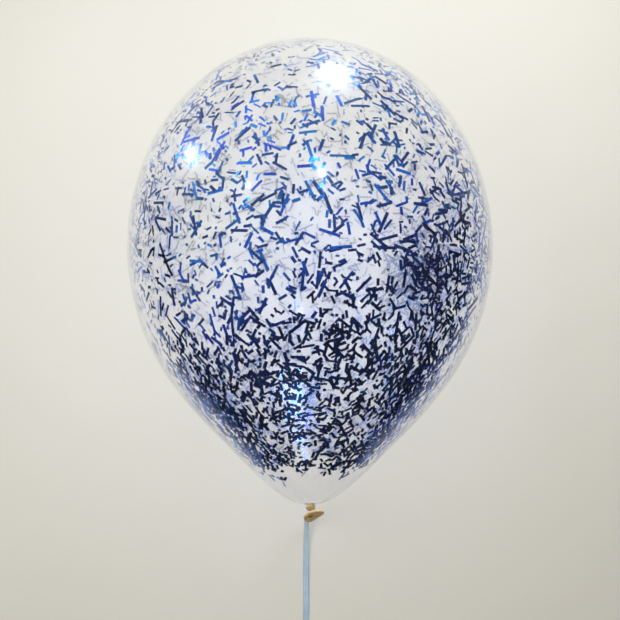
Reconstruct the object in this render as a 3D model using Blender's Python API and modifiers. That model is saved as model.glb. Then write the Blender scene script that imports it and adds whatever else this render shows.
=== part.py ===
"""A clear latex balloon, tied off at the neck and lying on its side, with its ribbon.

Units are metres and +Z is up. The balloon's long axis lies along Y, with the crown towards +Y
and the neck towards -Y. It rests on a small flat spot, as a soft balloon does on a table.
The origin is on the floor, under the middle of the balloon's own box.
"""

import math

import bmesh
import bpy
from mathutils import Matrix, Vector

# Envelope, along its own axis from the widest ring
BALLOON_DIAMETER = 0.300
CROWN_HEIGHT = 0.1715
WAIST_FULLNESS = 0.078
SHOULDER_DROP = 0.161
SHOULDER_RADIUS = 0.070
SHOULDER_FULLNESS = 0.051
TAPER_ANGLE = math.radians(44.7)
END_HEIGHT = 0.0505
END_FULLNESS = 0.0245
END_BLUNTNESS = 0.0194
NECK_RADIUS = 0.0032
FLAT_SPOT_WIDTH = 0.050

# Knot and rolled lip
KNOT_WIDTH = 0.0075
KNOT_LENGTH = 0.0060
KNOT_WRAP_THICKNESS = 0.0026
KNOT_SIDE_OFFSET = 0.0006
TAIL_RADIUS = 0.0020
TAIL_LENGTH = 0.0068
LIP_DIAMETER = 0.0180
LIP_BEAD = 0.0024
LIP_FUNNEL_DEPTH = 0.0012
LIP_WAVE = 0.0008
PINCH_RADIUS = 0.0006
PINCH_DEPTH = 0.0022
LIP_TURN = math.radians(21)
LIP_LIFT = math.radians(19)

# Ribbon
RIBBON_WIDTH = 0.0048
TIE_THICKNESS = 0.0014
TIE_KNOT_SIZE = 0.0040
TIE_KNOT_SIDE = Vector((-1.0, 0.0, -1.1))
LOOP_LENGTH = 0.034
LOOP_WIDTH = 0.017
LOOP_THICKNESS = 0.0024
LOOP_KNOT_LENGTH = 0.0085
LOOP_KNOT_WIDTH = 0.0062
LOOP_KNOT_HEIGHT = 0.0044
POINT_SPACING = 2.2 * RIBBON_WIDTH

# Fits
GAP = 0.0003
SINK = 0.0004

# The ribbon hangs from the tie to the floor and runs along it, away from the balloon
RIBBON_ROUTE = [
    (-0.0014, -0.1916, 0.1442),
    (-0.0016, -0.1916, 0.1330),
    (-0.0020, -0.1918, 0.1160),
    (-0.0025, -0.1920, 0.0950),
    (-0.0028, -0.1930, 0.0700),
    (-0.0030, -0.1962, 0.0450),
    (-0.0032, -0.2038, 0.0240),
    (-0.0034, -0.2170, 0.0095),
    (-0.0036, -0.2350, 0.0034),
    (-0.0037, -0.2520, 0.0026),
    (-0.0036, -0.2700, 0.0026),
    (-0.0034, -0.2900, 0.0026),
    (-0.0036, -0.3100, 0.0026),
    (-0.0040, -0.3300, 0.0026),
]

# Resolution
ENVELOPE_STEPS = 56
CROWN_POINTS = 16
WAIST_POINTS = 15
END_POINTS = 9
LIP_STEPS = 28

# Places worked out from the sizes
RADIUS = BALLOON_DIAMETER / 2
AXIS_HEIGHT = math.sqrt(RADIUS ** 2 - (FLAT_SPOT_WIDTH / 2) ** 2)
NECK_DROP = SHOULDER_DROP + END_HEIGHT
LIP_RING_RADIUS = (LIP_DIAMETER - LIP_BEAD) / 2
LIP_AXIS = Vector((
    math.sin(LIP_TURN) * math.cos(LIP_LIFT),
    -math.cos(LIP_TURN) * math.cos(LIP_LIFT),
    math.sin(LIP_LIFT),
))
KNOT_DROP = NECK_DROP + KNOT_LENGTH / 2 - SINK
LIP_RISE = KNOT_LENGTH / 2 + TAIL_LENGTH - LIP_BEAD / 2


def clear_scene():
    """Remove the objects that the scene starts with."""
    for obj in list(bpy.data.objects):
        bpy.data.objects.remove(obj, do_unlink=True)


def new_collection(name):
    """Make a collection under the scene's own."""
    collection = bpy.data.collections.new(name)
    bpy.context.scene.collection.children.link(collection)
    return collection


def make_material(name, color, roughness, transmission=0.0):
    """Make a Principled material of one colour."""
    material = bpy.data.materials.new(name)
    material.use_nodes = True
    shader = material.node_tree.nodes["Principled BSDF"]
    shader.inputs["Base Color"].default_value = (*color, 1.0)
    shader.inputs["Roughness"].default_value = roughness
    shader.inputs["Transmission Weight"].default_value = transmission
    material.diffuse_color = (*color, 1.0)
    return material


def bezier(start, start_handle, end_handle, end, count):
    """Read points along one cubic stretch, without its first point."""
    points = []
    for step in range(1, count + 1):
        t = step / count
        s = 1 - t
        point = (
            start * s ** 3
            + start_handle * 3 * s * s * t
            + end_handle * 3 * s * t * t
            + end * t ** 3
        )
        points.append(point)
    return points


def envelope_profile():
    """Outline of the envelope as (radius, height) points, from the crown down to the neck."""
    points = []
    for step in range(CROWN_POINTS + 1):
        angle = 0.5 * math.pi * step / CROWN_POINTS
        points.append(Vector((RADIUS * math.sin(angle), CROWN_HEIGHT * math.cos(angle))))
    waist = points[-1]
    shoulder = Vector((SHOULDER_RADIUS, -SHOULDER_DROP))
    neck = Vector((NECK_RADIUS, -NECK_DROP))
    taper = Vector((-math.cos(TAPER_ANGLE), -math.sin(TAPER_ANGLE)))
    points += bezier(
        waist,
        waist - Vector((0, WAIST_FULLNESS)),
        shoulder - taper * SHOULDER_FULLNESS,
        shoulder,
        WAIST_POINTS,
    )
    points += bezier(
        shoulder,
        shoulder + taper * END_FULLNESS,
        neck + Vector((END_BLUNTNESS, 0)),
        neck,
        END_POINTS,
    )
    points[0].x = 0.0
    return points


def add_turned(name, profile, steps, collection):
    """Turn a profile of (radius, height) points round Z and close it on the axis."""
    outline = [Vector((radius, 0, height)) for radius, height in profile]
    if outline[0].x > 0:
        outline.insert(0, Vector((0, 0, outline[0].z)))
    if outline[-1].x > 0:
        outline.append(Vector((0, 0, outline[-1].z)))
    mesh = bpy.data.meshes.new(name)
    edges = [(i, i + 1) for i in range(len(outline) - 1)]
    mesh.from_pydata(outline, edges, [])
    obj = bpy.data.objects.new(name, mesh)
    collection.objects.link(obj)
    screw = obj.modifiers.new("Turn", "SCREW")
    screw.axis = "Z"
    screw.angle = 2 * math.pi
    screw.steps = steps
    screw.render_steps = steps
    screw.use_merge_vertices = True
    screw.merge_threshold = 0.00001
    screw.use_smooth_shade = True
    return obj


def add_ball(name, size, collection):
    """Add a ball stretched to the given size on X, Y and Z."""
    mesh = bpy.data.meshes.new(name)
    bm = bmesh.new()
    bmesh.ops.create_uvsphere(bm, u_segments=20, v_segments=12, radius=0.5)
    bmesh.ops.scale(bm, vec=size, verts=bm.verts)
    bm.to_mesh(mesh)
    bm.free()
    mesh.shade_smooth()
    obj = bpy.data.objects.new(name, mesh)
    collection.objects.link(obj)
    return obj


def add_ring(name, ring_radius, thickness, collection):
    """Add a round ring about Z, as a bevelled curve made into a mesh."""
    curve = bpy.data.curves.new(name, "CURVE")
    curve.dimensions = "3D"
    curve.bevel_depth = thickness / 2
    curve.bevel_resolution = 2
    spline = curve.splines.new("POLY")
    count = 28
    spline.points.add(count - 1)
    for index, point in enumerate(spline.points):
        angle = 2 * math.pi * index / count
        point.co = (ring_radius * math.cos(angle), ring_radius * math.sin(angle), 0, 1)
    spline.use_cyclic_u = True
    return curve_to_mesh_object(name, curve, collection)


def curve_to_mesh_object(name, curve, collection):
    """Turn a curve into a welded mesh object of the same name."""
    source = bpy.data.objects.new(name + "_curve", curve)
    bpy.context.scene.collection.objects.link(source)
    depsgraph = bpy.context.evaluated_depsgraph_get()
    mesh = bpy.data.meshes.new_from_object(source.evaluated_get(depsgraph))
    bpy.data.objects.remove(source, do_unlink=True)
    bm = bmesh.new()
    bm.from_mesh(mesh)
    bmesh.ops.remove_doubles(bm, verts=bm.verts, dist=0.00001)
    bmesh.ops.recalc_face_normals(bm, faces=bm.faces)
    bm.to_mesh(mesh)
    bm.free()
    mesh.shade_smooth()
    obj = bpy.data.objects.new(name, mesh)
    collection.objects.link(obj)
    return obj


def combine(target, tool, operation):
    """Join a tool to the target, or cut the target with it."""
    modifier = target.modifiers.new(operation.title() + " " + tool.name, "BOOLEAN")
    modifier.operation = operation
    modifier.solver = "EXACT"
    modifier.object = tool
    tool.hide_render = True
    tool.display_type = "WIRE"


def facing(direction):
    """Rotation that turns +Z towards a direction."""
    return direction.to_track_quat("Z", "Y").to_matrix().to_4x4()


def waved(place):
    """Where a point of the slack lip comes to lie: it waves and sags out of round at the rim."""
    reach = place.xy.length / LIP_RING_RADIUS
    angle = math.atan2(place.y, place.x)
    lift = math.sin(2 * angle + 0.7) + 0.5 * math.sin(3 * angle + 2.0)
    squeeze = 1 - 0.07 * reach * math.sin(angle) ** 2
    return Vector((place.x * squeeze, place.y * squeeze, place.z + LIP_WAVE * reach ** 2 * lift))


def ring_y():
    """Where the widest ring stands on Y, so that the balloon's box is centred on the origin."""
    turn = facing(LIP_AXIS)
    reach = 0.0
    for step in range(LIP_STEPS):
        angle = 2 * math.pi * step / LIP_STEPS
        for radius, height in lip_profile():
            place = Vector((radius * math.cos(angle), radius * math.sin(angle), height))
            point = turn @ (waved(place) + Vector((0, 0, LIP_RISE)))
            reach = max(reach, -point.y)
    return (KNOT_DROP + reach - CROWN_HEIGHT) / 2


def knot_centre():
    """Middle of the knot in the part's frame."""
    return Vector((KNOT_SIDE_OFFSET, ring_y() - KNOT_DROP, AXIS_HEIGHT))


def lip_profile():
    """Outline of the tail and the rolled lip, from inside the knot out to the pinched mouth."""
    bead = LIP_BEAD / 2
    web = 0.62 * LIP_BEAD
    points = [
        (0.0, -LIP_RISE),
        (TAIL_RADIUS, -LIP_RISE),
        (TAIL_RADIUS, -bead - web),
        (TAIL_RADIUS + 0.25 * LIP_RING_RADIUS, -bead),
        (LIP_RING_RADIUS - 0.5 * bead, -0.87 * bead),
    ]
    for step in range(11):
        angle = math.radians(-105 + 210 * step / 10)
        points.append((LIP_RING_RADIUS + bead * math.cos(angle), bead * math.sin(angle)))
    floor = bead - LIP_FUNNEL_DEPTH
    points.append((LIP_RING_RADIUS - bead, floor + 0.55 * LIP_FUNNEL_DEPTH))
    points.append((0.45 * LIP_RING_RADIUS, floor))
    points.append((PINCH_RADIUS, floor - 0.3 * PINCH_DEPTH))
    points.append((0.5 * PINCH_RADIUS, floor - PINCH_DEPTH))
    points.append((0.0, floor - PINCH_DEPTH))
    points.reverse()
    return points


def bake_modifiers(obj):
    """Give an object the mesh that its modifiers make."""
    depsgraph = bpy.context.evaluated_depsgraph_get()
    mesh = bpy.data.meshes.new_from_object(obj.evaluated_get(depsgraph))
    obj.modifiers.clear()
    obj.data = mesh


def build_balloon(parts, tools, material):
    """The latex balloon: envelope, knot, tail and rolled lip in one piece, with its flat spot."""
    balloon = add_turned("balloon", envelope_profile(), ENVELOPE_STEPS, parts)
    balloon.matrix_world = (
        Matrix.Translation((0, ring_y(), AXIS_HEIGHT)) @ Matrix.Rotation(-math.pi / 2, 4, "X")
    )
    balloon.data.materials.append(material)

    centre = knot_centre()
    knot = add_ball("knot", (KNOT_WIDTH, KNOT_LENGTH, KNOT_WIDTH), tools)
    knot.location = centre
    combine(balloon, knot, "UNION")

    wrap_radius = (KNOT_WIDTH - KNOT_WRAP_THICKNESS) / 2 + SINK
    wrap = add_ring("knot_wrap", wrap_radius, KNOT_WRAP_THICKNESS, tools)
    wrap_direction = Vector((0.30, -1.0, 0.22))
    wrap.matrix_world = Matrix.Translation(centre) @ facing(wrap_direction)
    combine(balloon, wrap, "UNION")

    lip = add_turned("lip", lip_profile(), LIP_STEPS, tools)
    bake_modifiers(lip)
    for vertex in lip.data.vertices:
        vertex.co = waved(vertex.co)
    lip.matrix_world = Matrix.Translation(centre + LIP_AXIS * LIP_RISE) @ facing(LIP_AXIS)
    combine(balloon, lip, "UNION")

    floor = add_floor_cutter(tools)
    combine(balloon, floor, "DIFFERENCE")
    return balloon


def add_floor_cutter(tools):
    """A block with its top at floor level, which cuts the flat spot."""
    depth = 0.1 * BALLOON_DIAMETER
    mesh = bpy.data.meshes.new("floor")
    bm = bmesh.new()
    bmesh.ops.create_cube(bm, size=1.0)
    bmesh.ops.scale(bm, vec=(BALLOON_DIAMETER, BALLOON_DIAMETER, depth), verts=bm.verts)
    bmesh.ops.translate(bm, vec=(0, ring_y(), -depth / 2), verts=bm.verts)
    bm.to_mesh(mesh)
    bm.free()
    floor = bpy.data.objects.new("floor", mesh)
    tools.objects.link(floor)
    return floor


def build_ribbon_tie(parts, tools, material):
    """The ribbon's turn round the tail, with the knot that it hangs from."""
    ring_radius = TAIL_RADIUS + GAP + TIE_THICKNESS / 2
    place = knot_centre() + LIP_AXIS * (KNOT_LENGTH / 2 + GAP + 0.9 * TIE_THICKNESS)
    tie = add_ring("ribbon_tie", ring_radius, TIE_THICKNESS, parts)
    tie.matrix_world = Matrix.Translation(place) @ facing(LIP_AXIS)
    tie.data.materials.append(material)

    knot = add_ball("tie_knot", (TIE_KNOT_SIZE, 0.6 * TIE_KNOT_SIZE, TIE_KNOT_SIZE), tools)
    side = TIE_KNOT_SIDE - LIP_AXIS * LIP_AXIS.dot(TIE_KNOT_SIDE)
    knot.location = place + side.normalized() * (TAIL_RADIUS + GAP + TIE_KNOT_SIZE / 2)
    combine(tie, knot, "UNION")
    return tie


def smooth_route(route, spacing):
    """Read evenly spaced points from one smooth curve through the route's own points."""
    points = [Vector(point) for point in route]
    points.insert(0, 2 * points[0] - points[1])
    points.append(2 * points[-1] - points[-2])
    fine = []
    for index in range(1, len(points) - 2):
        before, start, end, after = points[index - 1:index + 3]
        for step in range(24):
            t = step / 24
            fine.append(0.5 * (
                2 * start
                + (end - before) * t
                + (2 * before - 5 * start + 4 * end - after) * t ** 2
                + (3 * start - before - 3 * end + after) * t ** 3
            ))
    fine.append(points[-2])
    length = sum((b - a).length for a, b in zip(fine, fine[1:]))
    count = max(2, round(length / spacing))
    result = [fine[0]]
    travelled = 0.0
    for start, end in zip(fine, fine[1:]):
        stretch = (end - start).length
        while len(result) < count and travelled + stretch >= len(result) * length / count:
            share = (len(result) * length / count - travelled) / stretch
            result.append(start.lerp(end, share))
        travelled += stretch
    result.append(fine[-1])
    return result


def build_ribbon(parts, material):
    """The ribbon's free length, as a plain tube as wide as the flat ribbon."""
    curve = bpy.data.curves.new("ribbon", "CURVE")
    curve.dimensions = "3D"
    curve.bevel_depth = RIBBON_WIDTH / 2
    curve.bevel_resolution = 2
    curve.use_fill_caps = True
    route = smooth_route(RIBBON_ROUTE, POINT_SPACING)
    spline = curve.splines.new("POLY")
    spline.points.add(len(route) - 1)
    for point, place in zip(spline.points, route):
        point.co = (*place, 1)
    curve.materials.append(material)
    ribbon = bpy.data.objects.new("ribbon", curve)
    parts.objects.link(ribbon)
    return ribbon


def build_ribbon_loop(parts, tools, material):
    """The knotted hand loop at the ribbon's far end, lying on the floor."""
    end = Vector(RIBBON_ROUTE[-1])
    knot_place = Vector((end.x, end.y - GAP - LOOP_KNOT_LENGTH / 2, LOOP_KNOT_HEIGHT / 2 + GAP))
    curve = bpy.data.curves.new("ribbon_loop", "CURVE")
    curve.dimensions = "3D"
    curve.bevel_depth = LOOP_THICKNESS / 2
    curve.bevel_resolution = 2
    count = 32
    spline = curve.splines.new("POLY")
    spline.points.add(count - 1)
    for index, point in enumerate(spline.points):
        angle = 2 * math.pi * index / count
        along = LOOP_LENGTH * (1 - math.cos(angle)) / 2
        across = LOOP_WIDTH / 2 * math.sin(angle) * math.sin(angle / 2) ** 0.5
        place = knot_place + Vector((across, -along, 0))
        place.z = LOOP_THICKNESS / 2 + GAP
        point.co = (*place, 1)
    spline.use_cyclic_u = True
    loop = curve_to_mesh_object("ribbon_loop", curve, parts)
    loop.data.materials.append(material)

    knot = add_ball("loop_knot", (LOOP_KNOT_WIDTH, LOOP_KNOT_LENGTH, LOOP_KNOT_HEIGHT), tools)
    knot.location = knot_place
    combine(loop, knot, "UNION")
    return loop


def main():
    """Build the balloon and its ribbon."""
    clear_scene()
    parts = new_collection("glitter_balloon")
    tools = new_collection("cutters")
    latex = make_material("clear_latex", (0.80, 0.84, 0.90), 0.12, transmission=0.85)
    ribbon = make_material("blue_ribbon", (0.36, 0.50, 0.66), 0.30)
    build_balloon(parts, tools, latex)
    build_ribbon_tie(parts, tools, ribbon)
    build_ribbon(parts, ribbon)
    build_ribbon_loop(parts, tools, ribbon)


main()
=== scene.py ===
"""Looks of a clear latex balloon lined with blue glitter strips, and of its light blue ribbon.

Everything is in metres in the part's own frame. The balloon lies on its side with its long axis
along Y, the crown towards +Y and the neck towards -Y, and it is seen from straight above.
"""

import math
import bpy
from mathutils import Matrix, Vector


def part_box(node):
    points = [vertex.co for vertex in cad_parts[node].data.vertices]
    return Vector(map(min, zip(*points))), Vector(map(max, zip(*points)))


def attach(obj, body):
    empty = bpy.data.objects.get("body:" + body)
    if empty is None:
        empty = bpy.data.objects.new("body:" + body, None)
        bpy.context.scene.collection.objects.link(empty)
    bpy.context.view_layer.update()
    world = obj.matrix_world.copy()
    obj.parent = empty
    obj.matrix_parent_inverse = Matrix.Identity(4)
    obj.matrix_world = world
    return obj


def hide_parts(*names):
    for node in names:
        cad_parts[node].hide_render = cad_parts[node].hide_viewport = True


bl_info = {
    "name": "Glitter balloon",
    "version": (1, 0, 0),
    "blender": (4, 5, 0),
    "location": "View3D > Sidebar > Balloon",
    "description": "Builds a clear latex balloon lined with glitter strips, and its ribbon",
    "category": "Add Mesh",
}

import bmesh
import bpy
from bpy.props import FloatProperty, FloatVectorProperty, IntProperty, PointerProperty
from mathutils import Vector, noise

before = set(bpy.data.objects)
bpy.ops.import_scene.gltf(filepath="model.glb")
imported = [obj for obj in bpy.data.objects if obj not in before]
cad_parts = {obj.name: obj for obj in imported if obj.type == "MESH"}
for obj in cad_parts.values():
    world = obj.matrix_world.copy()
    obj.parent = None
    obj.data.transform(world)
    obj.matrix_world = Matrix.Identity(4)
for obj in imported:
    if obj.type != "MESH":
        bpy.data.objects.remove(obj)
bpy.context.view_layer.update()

# Envelope, along its own axis from the widest ring, as in the part
RADIUS = 0.150
CROWN_HEIGHT = 0.1715
WAIST_FULLNESS = 0.078
SHOULDER_DROP = 0.161
SHOULDER_RADIUS = 0.070
SHOULDER_FULLNESS = 0.051
TAPER_ANGLE = math.radians(44.7)
END_HEIGHT = 0.0505
END_FULLNESS = 0.0245
END_BLUNTNESS = 0.0194
NECK_RADIUS = 0.0032
AXIS_HEIGHT = 0.147902
WIDEST_Y = 0.027988
NECK_DROP = SHOULDER_DROP + END_HEIGHT

# The skin's own marks: pleats that fade with height over the neck, a faint waviness, and the
# rounded edge of the flat spot
PLEATED_HEIGHT = 0.016
PLEAT_DEPTH = 0.05
WAVINESS = 0.00025
FLAT_ROUNDING = 0.0008
# Points round the skin, and round the liner that the strips stick to
SKIN_STEPS = 160
LINER_STEPS = 96
# How much a skin this thin bends light
FILM_IOR = 1.12

# Knot and rolled lip, as in the part
KNOT_CENTRE = Vector((0.0006, -0.186112, 0.147902))
KNOT_WIDTH = 0.0075
KNOT_LENGTH = 0.0060
LIP_AXIS = Vector((0.339, -0.883, 0.326)).normalized()
LIP_FACE = Vector((0.320, -0.820, 0.475)).normalized()
LIP_CENTRE = Vector((0.002814, -0.192604, 0.150702))
LIP_RING_RADIUS = 0.0078
LIP_BEAD = 0.0024
TAIL_RADIUS = 0.0020
# From the knot's near end to the plane of the lip
TAIL_REACH = 0.0056
# The web inside the lip, from its rim to the pinched mouth, as shares of the ring's radius and of
# the bead's
LIP_WEB = [
    (0.75, 0.30), (0.60, 0.16), (0.45, 0.02), (0.32, -0.05), (0.20, -0.18), (0.13, -0.45),
    (0.085, -0.9), (0.05, -1.5), (0.0, -1.6),
]
# How far the web is drawn to one side at its mouth
PINCH = 0.0034
# Painted shade on the slack skin in the knot's folds and on the tail, from 0 to 1
KNOT_PAINTED_SHADE = 0.42
TAIL_PAINTED_SHADE = 0.40

# The ribbon's route, as in the part
RIBBON_EXIT = (-0.0014, -0.1916, 0.1442)
RIBBON_ROUTE = [
    (-0.0014, -0.1916, 0.1442),
    (-0.0016, -0.1916, 0.1330),
    (-0.0020, -0.1918, 0.1160),
    (-0.0025, -0.1920, 0.0950),
    (-0.0028, -0.1930, 0.0700),
    (-0.0030, -0.1962, 0.0450),
    (-0.0032, -0.2038, 0.0240),
    (-0.0034, -0.2170, 0.0095),
    (-0.0036, -0.2350, 0.0034),
    (-0.0037, -0.2520, 0.0026),
    (-0.0036, -0.2700, 0.0026),
    (-0.0034, -0.2900, 0.0026),
    (-0.0036, -0.3100, 0.0026),
    (-0.0040, -0.3300, 0.0026),
]
RIBBON_REST_HEIGHT = 0.0026
# Ribs across the film
RIBS = 11

# The ribbon's turns round the tail and the knot that it hangs from
TIE_PLACE = 0.0028
TIE_TURNS = 2
TIE_RADIUS = 0.0026
TIE_GATHER = 0.00050
TIE_KNOT_REACH = TAIL_RADIUS + 0.0003 + 0.0020

# The loop at the ribbon's far end, and its knot
LOOP_LENGTH = 0.0335
LOOP_HALF_WIDTH = 0.0080
LOOP_MIDDLE = 0.017
LOOP_LEAN = math.radians(62)
LOOP_NARROWER = 0.86
LOOP_KNOT_INSET = 0.0042
LOOP_KNOT_HEIGHT = 0.0023
LOOP_GATHER = 0.00115

# Sizes of the strips in each layer, and how many points there are along one
LONG_SIZES = {
    "Shortest": 0.0055,
    "Longest": 0.0175,
    "Narrowest": 0.0021,
    "Widest": 0.0029,
    "Points Along": 4,
    "Spacing": 0.0034,
}
SHORT_SIZES = {
    "Shortest": 0.0024,
    "Longest": 0.0090,
    "Narrowest": 0.0018,
    "Widest": 0.0028,
    "Points Along": 2,
    "Spacing": 0.0022,
}
USUAL_WIDTH = 0.0023
SHALLOWEST = 0.0003
DEEPEST = 0.0008
CURL = 0.015
TILT = math.radians(5)
# Above 1, so short strips are more common than long ones
SHORT_BIAS = 1.7
# Places tried for each squared spacing, and how many of them the densest scatter keeps
PLACES_TRIED = 6.0
PLACES_KEPT = 0.65
SQUARE_CM_PER_SQUARE_M = 10000.0

# How many strips lie on each square centimetre, by height along the axis in metres
LONG_STRIPS = [
    (-0.212, 0.0), (-0.184, 0.0), (-0.176, 0.4), (-0.110, 1.0), (-0.070, 1.1), (-0.030, 1.05),
    (0.000, 0.85), (0.060, 0.85), (0.100, 0.75), (0.125, 0.40), (0.150, 0.25), (0.172, 0.30),
]
SHORT_STRIPS = [
    (-0.212, 0.0), (-0.190, 0.1), (-0.182, 1.2), (-0.174, 6.4), (-0.140, 6.3), (-0.100, 5.0),
    (-0.070, 3.0), (-0.045, 2.2), (-0.020, 1.6), (0.020, 1.4), (0.090, 1.5), (0.120, 1.5),
    (0.172, 1.5),
]
# Clumps as (place on X and along the axis, reach on each, front strips, back strips), per cm2
CLUMPS = [
    ((0.092, -0.026), (0.017, 0.034), 5.2, 6.0),
    ((0.104, -0.012), (0.034, 0.048), 0.6, 5.0),
    ((-0.135, 0.010), (0.026, 0.060), 0.5, 1.6),
    ((0.064, 0.126), (0.022, 0.020), 1.9, 0.6),
    ((-0.086, -0.122), (0.022, 0.026), 3.4, 3.0),
    ((0.080, -0.130), (0.022, 0.024), 1.2, 1.6),
    ((0.078, -0.085), (0.036, 0.030), 1.9, 1.5),
    ((0.128, 0.025), (0.022, 0.055), 1.8, 1.0),
    ((0.022, -0.108), (0.030, 0.020), 1.8, 0.5),
]
# Thinner places of the front as (place on X and along the axis, reach on each, share lost)
THIN_PLACES = [
    ((-0.120, -0.030), (0.035, 0.060), 0.35),
    ((-0.030, 0.128), (0.034, 0.022), 0.55),
    ((0.105, 0.100), (0.020, 0.030), 0.35),
]
# Share of those strips that lie on the far side, by height along the axis
BACK_SHARE = [(-0.10, 0.60), (0.0, 0.75), (0.10, 0.95), (0.172, 1.1)]

# Lamps that the film mirrors, as (X, place along the axis, distance, radius, power, spread in
# degrees)
LAMPS = {
    "lamp_crown": (0.0197, 0.1427, 0.38, 0.046, 0.28, 70),
    "lamp_left_low": (-0.0975, 0.0770, 0.62, 0.024, 0.32, 70),
    "lamp_middle": (0.0090, 0.0623, 1.30, 0.048, 1.9, 180),
    "lamp_left_high": (-0.0500, 0.0500, 1.30, 0.034, 1.05, 180),
}

# Soft boxes that light the floor, aimed at the origin: (place, power)
SOFT_BOXES = {
    "soft_box": ((0.20, 0.45, 0.60), 3.1),
    "soft_box_left": ((-0.40, -0.04, 0.70), 2.1),
}
SOFT_BOX_SIZE = 0.5
SOFT_BOX_COLOUR = (0.96, 1.0, 1.0)

# The room that the film mirrors, dim behind the neck and bright beyond the crown, as (place,
# level, green and blue for one part of level). Its tilt turns the bright end to the left
ROOM = [
    (0.12, 0.024, 0.60, 1.28), (0.25, 0.044, 0.64, 1.32), (0.41, 0.20, 0.75, 1.26),
    (0.55, 0.43, 0.88, 1.08), (0.70, 0.47, 0.98, 0.92), (0.85, 0.43, 1.00, 0.88),
]
ROOM_RED = 0.66
ROOM_DIM_END = (0.014, 0.015, 0.022)
ROOM_BRIGHT_END = (0.78, 0.90, 0.84)
ROOM_TILT = -0.44

# The view: its middle lies this far from the widest ring, towards the neck
VIEW_OFFSET = 0.0516
SENSOR_WIDTH = 36.0
FLOOR_REACH = 4.0


def linear(hex_code):
    """Turn an sRGB hex colour into Blender's linear red, green and blue."""
    channels = [int(hex_code[i:i + 2], 16) / 255 for i in (1, 3, 5)]
    return tuple(c / 12.92 if c <= 0.04045 else ((c + 0.055) / 1.055) ** 2.4 for c in channels)


def add_node(tree, kind, sockets=None, **settings):
    """Add a node with its settings, and set its sockets or link them to other nodes' outputs."""
    node = tree.nodes.new(kind)
    for name, value in settings.items():
        setattr(node, name, value)
    for socket, value in (sockets or {}).items():
        if isinstance(value, bpy.types.NodeSocket):
            tree.links.new(value, node.inputs[socket])
        else:
            node.inputs[socket].default_value = value
    return node


def new_material(name):
    """Make an empty node material and give it with its tree."""
    material = bpy.data.materials.new(name)
    material.use_nodes = True
    material.node_tree.nodes.clear()
    return material, material.node_tree


def set_stops(ramp, stops):
    """Give a new colour ramp its stops, as (place, linear colour) from low to high."""
    for element, (place, colour) in ((ramp.elements[0], stops[0]), (ramp.elements[1], stops[-1])):
        element.position = place
        element.color = (*colour, 1)
    for place, colour in stops[1:-1]:
        ramp.elements.new(place).color = (*colour, 1)


def stretched_latex(settings):
    """Stretched clear latex, outside: a thin dipped skin, glossy, with milky specks. They leave
    what touches the skin crisp and wash out what lies far behind it. They are drawn 0.2 mm wide,
    coarser than the real haze, though still too fine to be seen one by one. The attribute "cloud"
    clears them from the flanks, where the skin is seen edge on and would blur even what touches
    it. Latex has an IOR of 1.52, but a skin this thin bends nothing, so its body is set lower, and
    its gloss is a coat, matched to the weak mirror that a blown balloon is."""
    material, tree = new_material("stretched_clear_latex")
    coords = add_node(tree, "ShaderNodeTexCoord")
    specks = add_node(tree, "ShaderNodeTexNoise", {
        "Vector": coords.outputs["Object"],
        "Scale": 5200.0,
        "Detail": 0.0,
    })
    milky = add_node(tree, "ShaderNodeMapRange", {
        "Value": specks.outputs["Fac"],
        "From Min": 0.42,
        "From Max": 0.46,
        "To Min": 0.05,
        "To Max": settings.film_haze,
    })
    cloud = add_node(tree, "ShaderNodeAttribute", attribute_name="cloud")
    haze = add_node(tree, "ShaderNodeMath", {
        0: milky.outputs["Result"],
        1: cloud.outputs["Fac"],
    }, operation="MULTIPLY")
    shader = add_node(tree, "ShaderNodeBsdfPrincipled", {
        "Base Color": (*settings.film_colour, 1),
        "Roughness": haze.outputs[0],
        "IOR": FILM_IOR,
        "Transmission Weight": 1.0,
        "Coat Weight": 1.0,
        "Coat Roughness": 0.035,
        "Coat IOR": 1.42,
    })
    add_node(tree, "ShaderNodeOutputMaterial", {"Surface": shader.outputs[0]})
    return material


def latex_inner_face(settings):
    """The inside of the same clear skin, as smooth as the glazed former that it was dipped on."""
    material, tree = new_material("clear_latex_inner_face")
    shader = add_node(tree, "ShaderNodeBsdfPrincipled", {
        "Base Color": (*settings.film_colour, 1),
        "Roughness": 0.0,
        "IOR": FILM_IOR,
        "Transmission Weight": 1.0,
    })
    add_node(tree, "ShaderNodeOutputMaterial", {"Surface": shader.outputs[0]})
    return material


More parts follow.
